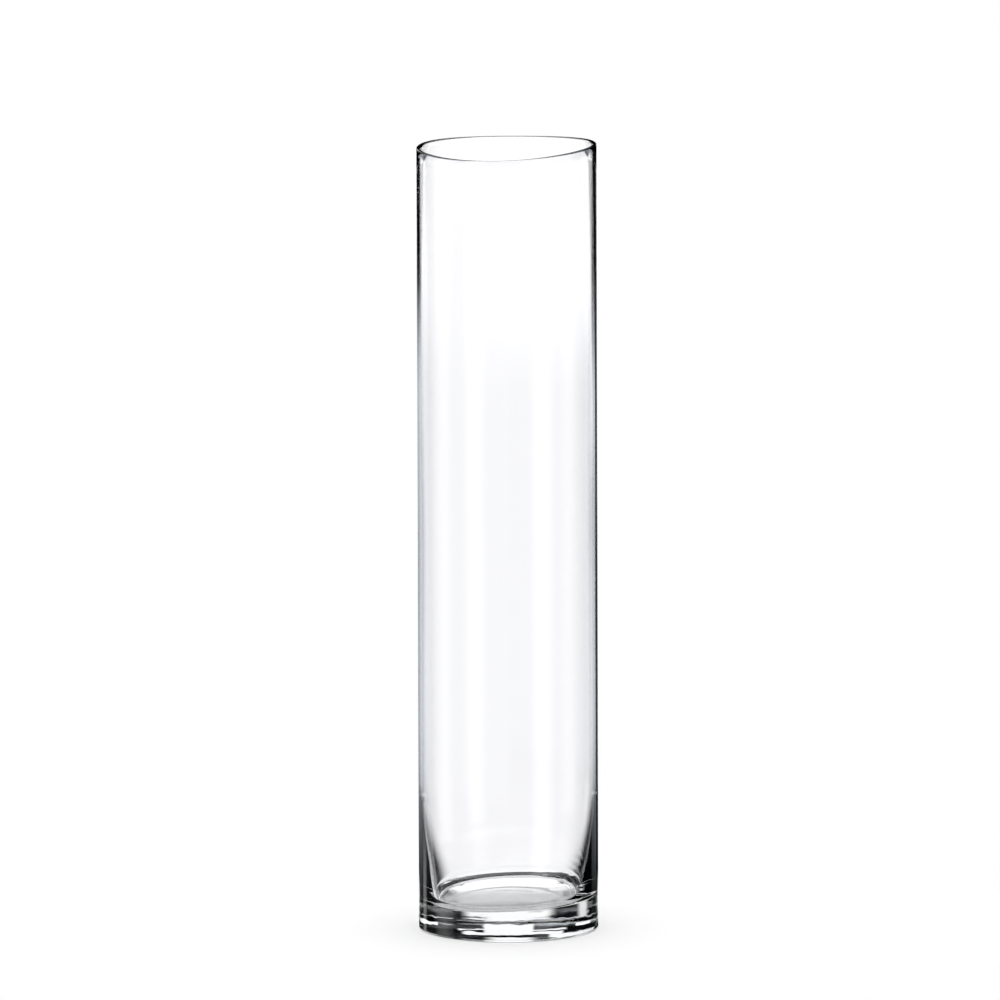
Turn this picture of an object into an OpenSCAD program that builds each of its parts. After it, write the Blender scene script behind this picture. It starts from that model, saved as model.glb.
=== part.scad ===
// Glass cylinder vase: one blown piece with a thick clear base.
// The origin is the centre of the circle it stands on, with +Z up through the mouth.

/* [Overall size] */
// Outside diameter of the cylinder
outer_d = 102; // [80:1:160]
// Height from the table to the top of the lip
body_h = 450; // [320:1:600]

/* [Wall] */
// Wall thickness of the thin middle of the cylinder
mid_wall = 1.4; // [1.2:0.1:4]
// Wall thickness at the mouth, where the glass is drawn less thin
lip_wall = 2; // [1.6:0.1:4.5]
// Wall thickness that the flare reaches at the level of the inner floor
foot_wall = 8.8; // [5:0.1:12]

/* [Mouth] */
// Height of the straight stretch inside the mouth, lip included
mouth_h = 33; // [10:1:60]
// Height over which the wall thins from the mouth to the middle
taper_h = 65; // [20:1:120]

/* [Base] */
// Thickness of the base, from the table to the inner floor
base_t = 16; // [8:0.5:24]
// Height over which the wall thickens down to the inner floor
flare_h = 68; // [30:1:100]
// Radius of the inside corner between the floor and the wall
corner_r = 7; // [3:0.5:12]
// Radius of the outside heel
heel_r = 1.5; // [1.5:0.5:6]
// Width of the flat ring that the vase stands on
foot_ring_w = 6; // [3:0.5:12]
// Depth of the shallow hollow under the base
punt_h = 1.5; // [0.5:0.1:3]

/* [Hidden] */
// True arcs and walls come from this many sides
$fn = 180;
// Overshoot that lets the cavity break out of the mouth
cut = 1;

outer_r = outer_d / 2;
mid_r = outer_r - mid_wall;
mouth_r = outer_r - lip_wall;
lip_r = lip_wall / 2;

// The cavity from the mouth down: straight, tapering, straight, then the flare
mouth_z = body_h - mouth_h;
taper_z = mouth_z - taper_h;
flare_z = base_t + flare_h;

// The flare is one arc, upright where it leaves the middle wall
flare_in = foot_wall - mid_wall;
flare_r = (flare_h * flare_h + flare_in * flare_in) / (2 * flare_in);

// The corner arc lies inside the flare's arc and touches it and the floor
corner_drop = flare_h - corner_r;
corner_reach = sqrt(pow(flare_r - corner_r, 2) - pow(corner_drop, 2));
corner_x = mid_r - flare_r + corner_reach;
corner_z = base_t + corner_r;
touch_z = flare_z - corner_drop * flare_r / (flare_r - corner_r);

// The punt is one arc that meets the table at the foot ring's inner edge
foot_r = outer_r - heel_r;
punt_edge_r = foot_r - foot_ring_w;
punt_r = (punt_edge_r * punt_edge_r + punt_h * punt_h) / (2 * punt_h);

// Outside of the glass, solid across: heel, wall and the round of the lip
module outside_profile() {
    square([foot_r, heel_r]);
    translate([foot_r, heel_r]) circle(r = heel_r);
    translate([0, heel_r]) square([outer_r, body_h - heel_r - lip_r]);
    translate([outer_r - lip_r, body_h - lip_r]) circle(r = lip_r);
}

// Wall of the cavity where it flares in towards the floor
module flare_profile() {
    intersection() {
        translate([0, touch_z]) square([mid_r, flare_z - touch_z]);
        translate([mid_r - flare_r, flare_z]) circle(r = flare_r, $fn = 4 * $fn);
    }
}

// The hollow that holds the water and the stems
module cavity_profile() {
    translate([0, mouth_z]) square([mouth_r, mouth_h + cut]);
    polygon([[0, taper_z], [mid_r, taper_z], [mouth_r, mouth_z], [0, mouth_z]]);
    translate([0, flare_z]) square([mid_r, taper_z - flare_z]);
    flare_profile();
    translate([corner_x, corner_z]) circle(r = corner_r);
    translate([0, base_t]) square([corner_x, corner_r]);
}

// The shallow hollow underneath
module punt_profile() {
    translate([0, punt_h - punt_r]) circle(r = punt_r, $fn = 8 * $fn);
}

// The whole vase, one piece of clear glass
module vase_body() {
    color([0.86, 0.94, 0.94, 0.4])
        rotate_extrude()
            intersection() {
                square([outer_r, body_h]);
                difference() {
                    outside_profile();
                    cavity_profile();
                    punt_profile();
                }
            }
}

vase_body();
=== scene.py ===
# %% [markdown]
# # A tall cylinder vase in clear blown glass
# The real vase is one piece of soda-lime glass: a straight thin wall, a fire-polished lip and a thick clear
# base. Nothing is glued on and nothing moves. So there is one piece to model, and the work goes into the
# shape of its two skins, because clear glass shows nothing but how it bends what stands around it.

# %% Load the frame
import math

import bpy
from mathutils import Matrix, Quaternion, Vector, noise


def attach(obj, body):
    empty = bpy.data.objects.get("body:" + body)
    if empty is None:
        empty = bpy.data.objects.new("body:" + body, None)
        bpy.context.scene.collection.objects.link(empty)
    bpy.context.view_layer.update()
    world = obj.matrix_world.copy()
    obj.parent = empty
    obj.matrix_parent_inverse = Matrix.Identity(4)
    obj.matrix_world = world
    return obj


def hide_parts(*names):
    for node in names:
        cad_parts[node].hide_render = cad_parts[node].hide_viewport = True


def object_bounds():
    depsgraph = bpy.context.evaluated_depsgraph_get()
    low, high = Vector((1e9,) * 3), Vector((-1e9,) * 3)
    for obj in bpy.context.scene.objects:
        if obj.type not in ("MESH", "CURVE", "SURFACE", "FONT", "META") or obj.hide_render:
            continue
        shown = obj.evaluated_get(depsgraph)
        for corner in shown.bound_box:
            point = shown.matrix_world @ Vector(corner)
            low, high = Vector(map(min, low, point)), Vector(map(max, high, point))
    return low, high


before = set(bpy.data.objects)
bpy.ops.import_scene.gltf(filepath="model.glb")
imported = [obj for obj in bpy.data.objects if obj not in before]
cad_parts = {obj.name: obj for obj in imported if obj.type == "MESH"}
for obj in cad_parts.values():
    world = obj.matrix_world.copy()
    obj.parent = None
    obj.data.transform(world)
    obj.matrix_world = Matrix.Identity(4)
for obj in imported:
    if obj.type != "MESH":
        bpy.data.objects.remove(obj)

cad_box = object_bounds()
low, high = cad_box
outer_r = (high.x - low.x) / 2
height = high.z - low.z
print("CAD box:", [round(v * 1000, 1) for v in (*low, *high)], "mm")

# %% [markdown]
# ## The section
# A blown cylinder takes its outside from the mould, so the outside is true. The inside goes its own way:
# thin in the middle, thicker at the lip where the fire has drawn it back, and flaring in to the base where
# the gob of glass was heaviest. The section could be drawn as a curve, but a chain of vertices that is
# extruded round it gives even rows, and the rows can be close together where the glass bends light most.

# %% Sizes of the section
MM = 0.001
lip_wall = 2.0 * MM
mid_wall = 1.4 * MM
foot_wall = 8.8 * MM
base_t = 16 * MM
flare_h = 68 * MM
lip_zone = 90 * MM
corner_r = 7 * MM
heel_r = 1.5 * MM
foot_ring_w = 6 * MM
punt_h = 1.5 * MM
wall_row = 5 * MM
flare_row = 1.5 * MM
foot_row = 1 * MM
punt_steps = 30
heel_steps = 10
lip_steps = 14
corner_steps = 14
floor_steps = 16
hair = 0.01 * MM


def smooth(t):
    """Ease from 0 to 1."""
    t = min(max(t, 0.0), 1.0)
    return t * t * (3 - 2 * t)


def wall_at(z):
    """Wall thickness at height z, from the floor up to the lip."""
    flare = max(0.0, (base_t + flare_h - z) / flare_h)
    thick = mid_wall + (foot_wall - mid_wall) * flare**2
    return thick + (lip_wall - mid_wall) * smooth((z - (height - lip_zone)) / lip_zone)


# %% Walk round the section
lip_r = lip_wall / 2
corner_z = base_t + corner_r
flare_top = base_t + flare_h
flare_lean = math.atan(2 * (foot_wall - mid_wall) * (flare_h - corner_r) / flare_h**2)
touch_z = corner_z - corner_r * math.sin(flare_lean)
corner_x = outer_r - wall_at(touch_z) - corner_r * math.cos(flare_lean)


def arc(cx, cz, r, start, end, steps):
    """Points on an arc, in degrees from +X towards +Z."""
    angles = [math.radians(start + (end - start) * k / steps) for k in range(steps + 1)]
    return [(cx + r * math.cos(a), cz + r * math.sin(a)) for a in angles]


def levels(start, end, gap):
    """Heights from start to end, about one gap apart, without the two ends."""
    count = max(1, round(abs(end - start) / gap))
    return [start + (end - start) * k / count for k in range(1, count)]


def section():
    """Underside, heel, outside, lip, inside, corner and floor, from the axis back to the axis."""
    foot_r = outer_r - heel_r
    ring_in = foot_r - foot_ring_w
    lip_z = height - lip_r
    pts = [(ring_in * k / punt_steps, punt_h * (1 - (k / punt_steps) ** 2)) for k in range(punt_steps + 1)]
    pts += arc(foot_r, heel_r, heel_r, -90, 0, heel_steps)
    pts += [(outer_r, z) for z in levels(heel_r, corner_z, foot_row)]
    pts += [(outer_r, z) for z in levels(corner_z, flare_top, 2 * flare_row)]
    pts += [(outer_r, z) for z in levels(flare_top, lip_z, wall_row)]
    pts += arc(outer_r - lip_r, lip_z, lip_r, 0, 180, lip_steps)
    inside = levels(lip_z, flare_top, wall_row) + [flare_top] + levels(flare_top, touch_z, flare_row)
    pts += [(outer_r - wall_at(z), z) for z in inside]
    pts += arc(corner_x, corner_z, corner_r, -math.degrees(flare_lean), -90, corner_steps)
    pts += [(corner_x * k / floor_steps, base_t) for k in range(floor_steps - 1, -1, -1)]
    return pts


points = section()
bpy.ops.object.select_all(action="DESELECT")
bpy.ops.mesh.primitive_plane_add(size=outer_r)
vase = bpy.context.object
vase.name = "blown_vase"
bpy.ops.object.mode_set(mode="EDIT")
bpy.ops.mesh.select_all(action="SELECT")
bpy.ops.mesh.merge(type="CENTER")
bpy.ops.transform.translate(value=(0, 0, punt_h))
for here, there in zip(points, points[1:]):
    step = (there[0] - here[0], 0, there[1] - here[1])
    bpy.ops.mesh.extrude_region_move(TRANSFORM_OT_translate={"value": step})
print("section:", len(vase.data.vertices), "->", len(points), "points")

# %% [markdown]
# ## Spin it
# The mould is round, so the section is spun once about the axis. The start and end rows and the two poles are
# then merged, and the normals are recalculated, because a spin can leave a skin inside out.

# %% Spin
sides = 256
bpy.ops.mesh.select_all(action="SELECT")
bpy.ops.mesh.spin(steps=sides, angle=math.tau, center=(0, 0, 0), axis=(0, 0, 1))
bpy.ops.mesh.select_all(action="SELECT")
bpy.ops.mesh.remove_doubles(threshold=hair)
bpy.ops.mesh.normals_make_consistent(inside=False)
bpy.ops.object.mode_set(mode="OBJECT")
bpy.ops.object.shade_smooth()
print("spun:", len(vase.data.polygons), "faces")

# %% [markdown]
# ## What the hand left
# A vase like this is cheap and hand finished, and that shows. The lip was cracked off and melted round, so
# it stands higher on one side and is thicker at the back. The inside skin is never quite centred, the floor
# slumped to one side as it cooled, and the thick foot keeps ripples where the mould chilled it. No operator
# makes such soft, local changes to one skin, so each vertex is eased in code by formulas. The outside wall
# stays true above the foot.

# %% Soft noise
def grain(p, lump):
    """Noise from -1 to 1 at p, in lumps of a given width and height."""
    across, up = lump
    return noise.noise(Vector((p.x / across, p.y / across, p.z / up)))


# %% Uneven lip
lip_wave = 1.1 * MM
wave_depth = 60 * MM
wave_turn = math.radians(12)


def lip_drop(a):
    """How far the lip is below its highest point. Angle a turns from the front (-Y) to the right (+X)."""
    a += wave_turn
    return lip_wave * (2 - math.sin(a) + math.cos(2 * a))


# %% Uneven inside
bead_t = 1.5 * MM
bead_h = 8 * MM
back_reach = math.radians(100)
back_fade = math.radians(20)
lean_rise = 20 * MM
tilt = math.radians(2.2)
tilt_fade = 26 * MM
off_centre = 0.25 * MM
wander = 0.12 * MM
wander_lump = (30 * MM, 90 * MM)
ripple = 0.04 * MM
ripple_gap = 4 * MM
ripple_top = 60 * MM
ripple_fade = 40 * MM
ripple_start = 4 * MM
ripple_lump = (12 * MM, 20 * MM)
chill_mark = 0.07 * MM
chill_h = 17 * MM
chill_fade = 3 * MM
coarse_lump = (6 * MM, 2.5 * MM)
fine_lump = (2 * MM, 1.5 * MM)


def inside_shift(p, a):
    """How far the inside skin moves in from the true section, at point p."""
    from_back = abs(math.remainder(a - math.pi, math.tau))
    back_half = smooth((back_reach - from_back) / back_fade)
    bead = bead_t * back_half * smooth((p.z - (height - bead_h)) / bead_h)
    lean = off_centre * math.sin(a) * smooth((flare_top + lean_rise - p.z) / (2 * flare_h))
    soft = wander * grain(p, wander_lump)
    near_foot = smooth((ripple_top - p.z) / ripple_fade) * smooth((p.z - base_t) / ripple_start)
    phase = math.tau * p.z / ripple_gap + 5 * grain(p, ripple_lump)
    return bead + lean + soft + ripple * near_foot * math.sin(phase) * smooth(0.3 + math.sin(a))


def chill(p):
    """How far the outside is wrinkled in near the foot, where the mould was cold."""
    band = smooth(p.z / chill_fade) * smooth((chill_h - p.z) / chill_fade)
    wrinkle = grain(p, coarse_lump) + 0.5 * grain(p, fine_lump)
    return chill_mark * band * (0.5 + 0.5 * wrinkle)


def ease(p):
    """The place of one vertex after the hand has been over it."""
    r = math.hypot(p.x, p.y)
    a = math.atan2(p.x, -p.y)
    new = p.copy()
    new.z -= lip_drop(a) * smooth((p.z - (height - wave_depth)) / wave_depth)
    if p.z > base_t - hair and r > 1 * MM:
        skin = min(1.0, max(0.0, (outer_r - r) / wall_at(p.z)))
        shift = inside_shift(p, a) * skin
        new.x *= 1 - shift / r
        new.y *= 1 - shift / r
    if p.z > base_t - hair and r < outer_r - mid_wall / 2:
        new.z += p.x * math.tan(tilt) * smooth(1 - (p.z - base_t) / tilt_fade)
    if r > outer_r - hair and p.z < chill_h:
        new.x *= 1 - chill(p) / r
        new.y *= 1 - chill(p) / r
    return new


for vertex in vase.data.vertices:
    vertex.co = ease(vertex.co)
vase.data.update()
tops = [v.co.z for v in vase.data.vertices if math.hypot(v.co.x, v.co.y) > outer_r - lip_wall]
print("highest point of the lip:", round(max(tops) / MM, 2), "mm")

# %% [markdown]
# ## Helpers for node materials
# Colours are picked as sRGB hex values, and shaders work in linear light, so one function turns them. A
# second one adds a node with its settings and links, which keeps each material below to a few readable lines.

# %% Node helpers
def linear(hex_colour, strength=1.0):
    """An sRGB hex colour as linear RGBA, made brighter by strength."""
    parts = [int(hex_colour[k : k + 2], 16) / 255 for k in (1, 3, 5)]
    return [strength * (c / 12.92 if c <= 0.04045 else ((c + 0.055) / 1.055) ** 2.4) for c in parts] + [1.0]


def add(tree, kind, settings=None, links=None):
    """Add a node. A key that names or numbers an input sets or feeds it, and any other sets a property."""
    node = tree.nodes.new(kind)
    for key, value in (settings or {}).items():
        if isinstance(key, int) or key in node.inputs:
            node.inputs[key].default_value = value
        else:
            setattr(node, key, value)
    for key, output in (links or {}).items():
        tree.links.new(output, node.inputs[key])
    return node


# %% [markdown]
# ## Soda-lime glass
# This is the common glass of bottles and windows, index 1.52, with a fire-polished skin, so it is perfectly
# clear and glossy with no roughness to speak of. What gives it away as blown is a faint waviness that makes
# dark edges waver, fine wipe marks near the lip, and a trace of green grey in the thick foot.

# %% Glass
glass = bpy.data.materials.new("soda_lime_glass")
glass.use_nodes = True
tree = glass.node_tree
shader = tree.nodes["Principled BSDF"]
shader.inputs["Transmission Weight"].default_value = 1
shader.inputs["Roughness"].default_value = 0
shader.inputs["IOR"].default_value = 1.52
where = add(tree, "ShaderNodeTexCoord")
axes = add(tree, "ShaderNodeSeparateXYZ", links={0: where.outputs["Object"]})

# %% Colour in the thick foot
in_foot = add(
    tree,
    "ShaderNodeMapRange",
    {"From Min": base_t + corner_r, "From Max": base_t - corner_r},
    {"Value": axes.outputs["Z"]},
)
tints = {"data_type": "RGBA", 6: linear("#FCFCFD"), 7: linear("#F5F8F8")}
tint = add(tree, "ShaderNodeMix", tints, {0: in_foot.outputs[0]})
tree.links.new(tint.outputs[2], shader.inputs["Base Color"])

# %% Long soft waves, drawn out along the wall as the gather was stretched
wave_depth_on_skin = 0.012 * MM


def stretched_noise(across, up):
    """Noise on the glass whose lumps are across wide and up high."""
    scale = {"Scale": (1 / across, 1 / across, 1 / up)}
    mapped = add(tree, "ShaderNodeMapping", scale, {"Vector": where.outputs["Object"]})
    return add(tree, "ShaderNodeTexNoise", {"Scale": 1, "Detail": 1}, {"Vector": mapped.outputs[0]})


waves = stretched_noise(25 * MM, 90 * MM)
wave_bump = {"Strength": 1, "Distance": wave_depth_on_skin}
wavy = add(tree, "ShaderNodeBump", wave_bump, {"Height": waves.outputs[0]})

# %% Fine level marks near the lip, where a cloth has gone round
mark_depth = 0.002 * MM
marks = stretched_noise(12 * MM, 0.7 * MM)
near_lip = add(
    tree,
    "ShaderNodeMapRange",
    {"From Min": height - lip_zone, "From Max": height},
    {"Value": axes.outputs["Z"]},
)
depth = add(
    tree, "ShaderNodeMath", {"operation": "MULTIPLY"}, {0: marks.outputs[0], 1: near_lip.outputs[0]}
)
wiped = add(
    tree,
    "ShaderNodeBump",
    {"Strength": 1, "Distance": mark_depth},
    {"Height": depth.outputs[0], "Normal": wavy.outputs[0]},
)
tree.links.new(wiped.outputs[0], shader.inputs["Normal"])
print("glass:", len(tree.nodes), "nodes")

# %% Hand over the vase
vase.data.materials.append(glass)
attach(vase, "root")
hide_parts("vase_body")

# %% [markdown]
# ## The floor
# A plain pale floor, lit a little from within as a light table is, so that the foot of the vase isn't dark.
# It takes the soft contact shadow. Seen through the glass, a wide white floor would drown the black cards
# beside the foot, so light that has met the glass sees only the small disc that the vase stands on.

# %% Floor
floor_r = 0.3
floor_z = -0.0003
foot_disc_z = -0.0002
foot_disc_gap = 0.5 * MM
floor_glow = 0.25


def disc(name, radius, z):
    """A level round sheet of the setting, centred under the vase."""
    bpy.ops.object.select_all(action="DESELECT")
    bpy.ops.mesh.primitive_circle_add(vertices=128, radius=radius, fill_type="NGON", location=(0, 0, z))
    bpy.context.object.name = name
    return bpy.context.object


floor = disc("floor", floor_r, floor_z)
floor.visible_transmission = False
floor.visible_glossy = False
foot_disc = disc("foot_disc", outer_r + foot_disc_gap, foot_disc_z)
board = bpy.data.materials.new("matt_white_board")
board.use_nodes = True
paint = board.node_tree.nodes["Principled BSDF"]
paint.inputs["Base Color"].default_value = linear("#F7F7F7")
paint.inputs["Roughness"].default_value = 0.9
paint.inputs["Emission Color"].default_value = linear("#FFFFFF")
paint.inputs["Emission Strength"].default_value = floor_glow
for piece in (floor, foot_disc):
    piece.data.materials.append(board)
print("floor:", round(2 * floor_r, 2), "m across")

# %% [markdown]
# ## Light tent
# Clear glass is lit by what stands around it. In a studio that is a white tent with a bright panel behind the
# glass and dark cards beside it: the panel shines through the middle, and the rounded edges bend the dark
# cards into view, which draws the outline. The tent is a ring, and its cards are painted by angle and height.
# The camera looks in through the ring, which it doesn't see.

# %% Tent ring
tent_r = 1.5
tent_low = -1.5
tent_high = 0.9
bpy.ops.object.select_all(action="DESELECT")
bpy.ops.mesh.primitive_cylinder_add(
    vertices=128,
    radius=tent_r,
    depth=tent_high - tent_low,
    end_fill_type="NOTHING",
)
tent = bpy.context.object
tent.name = "light_tent"
bpy.ops.object.mode_set(mode="EDIT")
bpy.ops.mesh.select_all(action="SELECT")
bpy.ops.transform.translate(value=(0, 0, (tent_high + tent_low) / 2))
bpy.ops.object.mode_set(mode="OBJECT")
tent.visible_camera = False
tent.visible_diffuse = False
tent.visible_shadow = False

# %% Tent cards
cloth = bpy.data.materials.new("tent_cloth")
cloth.use_nodes = True
tree = cloth.node_tree
tree.nodes.clear()
place = add(tree, "ShaderNodeTexCoord")
axes = add(tree, "ShaderNodeSeparateXYZ", links={0: place.outputs["Object"]})
to_left = add(tree, "ShaderNodeMath", {"operation": "MULTIPLY", 1: -1.0}, {0: axes.outputs["X"]})
turn = add(tree, "ShaderNodeMath", {"operation": "ARCTAN2"}, {0: to_left.outputs[0], 1: axes.outputs["Y"]})
degrees = add(tree, "ShaderNodeMath", {"operation": "DEGREES"}, {0: turn.outputs[0]})


def ramp(value, start, end):
    """Ease from 0 at start to 1 at end."""
    settings = {"interpolation_type": "SMOOTHSTEP", "From Min": start, "From Max": end}
    return add(tree, "ShaderNodeMapRange", settings, {"Value": value}).outputs[0]


def times(a, b):
    """Multiply two node outputs."""
    return add(tree, "ShaderNodeMath", {"operation": "MULTIPLY"}, {0: a, 1: b}).outputs[0]


def card(under, colour, centre, half, bottom, top, edge=1.5, soft=0.02, fade=None):
    """Hang a card on the tent: its middle and half width in degrees from the back, its heights in metres."""
    away = add(tree, "ShaderNodeMath", {"operation": "SUBTRACT", 1: centre}, {0: degrees.outputs[0]})
    off = add(tree, "ShaderNodeMath", {"operation": "PINGPONG", 1: 180.0}, {0: away.outputs[0]})
    across = ramp(off.outputs[0], half + edge, half - edge)
    rise = fade or soft
    above = ramp(axes.outputs["Z"], bottom - rise, bottom + rise)
    below = ramp(axes.outputs["Z"], top + soft, top - soft)
    mask = times(across, times(above, below))
    mix = add(tree, "ShaderNodeMix", {"data_type": "RGBA", 7: colour}, {0: mask, 6: under})
    return mix.outputs[2]


# %% Hang the cards
# A card that starts below the ring or ends above it runs off the ring's edge
under_ring = -2
over_ring = 2
all_round = 360
white = linear("#FFFFFF", 1.14)
bright = linear("#FFFFFF", 1.35)
black = linear("#0A0B0D")
# The tent itself: pale grey on the left, dark grey on the right
left_side = ramp(degrees.outputs[0], -2.0, 2.0)
sides_mix = {"data_type": "RGBA", 6: linear("#33353A"), 7: linear("#A6ACB4")}
ground = add(tree, "ShaderNodeMix", sides_mix, {0: left_side})

# Pale cloths either side of the panel, and black below
paint = card(ground.outputs[2], linear("#BCC1C8"), 16, 10, under_ring, over_ring, edge=3)
paint = card(paint, linear("#DDE2E8"), 38, 12, under_ring, over_ring, edge=4)
paint = card(paint, linear("#D0D5DB"), -37, 9.5, under_ring, over_ring, edge=1.5)
paint = card(paint, black, 0, all_round, under_ring, -0.2, soft=0.07)

# The panel behind the glass, a bright band round the other sides, and black above them
paint = card(paint, white, 0, 9.5, under_ring, 0.4, edge=4)
paint = card(paint, bright, 178, 142, 0.12, 0.25, edge=1, fade=0.05)
paint = card(paint, black, 0, all_round, 0.25, over_ring, soft=0.005)
paint = card(paint, black, -2, 38, 0.12, over_ring, edge=1, fade=0.05)
paint = card(paint, black, 67.5, 12, 0.13, over_ring, edge=4, fade=0.06)
paint = card(paint, black, 112.5, 12, 0.13, over_ring, edge=4, fade=0.06)

# Panels that stand behind the glass when it is seen from other sides
paint = card(paint, linear("#FFFFFF", 0.9), 45, 5, -0.32, -0.21, edge=3)
paint = card(paint, white, 45, 9.5, under_ring, -0.285)
paint = card(paint, white, 90, 11, -0.6, 1, edge=10)
paint = card(paint, white, -135, 11, under_ring, 0.3, edge=10)

# The upper panel, and level strips across it
paint = card(paint, white, 0, 10.5, 0.03, 0.4, edge=1, fade=0.04)
paint = card(paint, white, 2.5, 24, 0.355, 0.45, soft=0.005)
paint = card(paint, white, 0, 20, -0.258, -0.238, edge=4, soft=0.008)
paint = card(paint, white, 2.5, 26, 0.265, 0.31, soft=0.005)

# The tops of the side panels
paint = card(paint, white, 45, 26, 0.45, over_ring)
paint = card(paint, white, -135, 26, 0.265, 0.6)
cards = sum(1 for n in tree.nodes if n.type == "MIX") - 1  # the tent's own two greys are a mix too
print("tent:", cards, "cards on a ring", 2 * tent_r, "m across")
glow = add(tree, "ShaderNodeEmission", links={"Color": paint})
add(tree, "ShaderNodeOutputMaterial", links={"Surface": glow.outputs[0]})
tent.data.materials.append(cloth)

# %% [markdown]
# ## The world
# The camera sees a plain white background. Everything else that looks past the tent sees a soft light from
# overhead, brighter towards the top, and the floor gets an even light, which leaves only a soft shadow close
# to the vase. A studio would use a paper sweep and a big overhead softbox. Light Path picks who sees what.

# %% World
floor_light = 0.85
background = 1.0
world = bpy.data.worlds.new("studio")
bpy.context.scene.world = world
world.use_nodes = True
tree = world.node_tree
sky = add(tree, "ShaderNodeTexCoord")
up = add(tree, "ShaderNodeSeparateXYZ", links={0: sky.outputs["Generated"]})
overhead = add(
    tree,
    "ShaderNodeMapRange",
    {"interpolation_type": "SMOOTHSTEP", "From Min": 0.3, "From Max": 0.7, "To Min": 0.1, "To Max": 1.6},
    {"Value": up.outputs["Z"]},
)
path = add(tree, "ShaderNodeLightPath")
on_floor = {"Value": path.outputs["Is Diffuse Ray"], 3: overhead.outputs[0]}
to_floor = add(tree, "ShaderNodeMapRange", {"To Max": floor_light}, on_floor)
behind = {"Value": path.outputs["Is Camera Ray"], 3: to_floor.outputs[0]}
seen = add(tree, "ShaderNodeMapRange", {"To Max": background}, behind)
tree.links.new(seen.outputs[0], tree.nodes["Background"].inputs["Strength"])
tree.nodes["Background"].inputs["Color"].default_value = (1, 1, 1, 1)
print("world:", len(tree.nodes), "nodes")

# %% [markdown]
# ## Camera
# The vase is seen from just above its mouth, through a long lens from far off, so both walls stay parallel
# and the rim is a thin ellipse. The camera is aimed in code at one point near the axis. The lens follows from
# the distance and from how wide a strip of the scene fills the frame at the vase.

# %% Camera
distance = 13.5
elevation = math.radians(9.2)
frame_w = 0.566
roll = math.radians(0.17)
camera_data = bpy.data.cameras.new("camera")
camera = bpy.data.objects.new("camera", camera_data)
bpy.context.collection.objects.link(camera)
bpy.context.scene.camera = camera
camera_data.lens = camera_data.sensor_width * distance / frame_w
camera_data.clip_end = 100
aim = Vector((-0.0042, 0, 0.2455))
camera.location = aim + Vector((0, -math.cos(elevation), math.sin(elevation))) * distance
camera.rotation_mode = "QUATERNION"
look = (aim - camera.location).to_track_quat("-Z", "Y")
camera.rotation_quaternion = look @ Quaternion((0, 0, 1), -roll)
print("lens:", round(camera_data.lens), "mm, from", distance, "m")

# %% [markdown]
# ## Colour and light paths
# White has to stay white, so the plain Standard view is used. A path through this vase crosses four skins and
# bounces on between the floor and the underside, so it needs many bounces before it gets out.

# %% Colour management
scene = bpy.context.scene
scene.view_settings.view_transform = "Standard"
scene.cycles.max_bounces = 32
scene.cycles.transmission_bounces = 32
print("view:", scene.view_settings.view_transform, "| bounces:", scene.cycles.max_bounces)
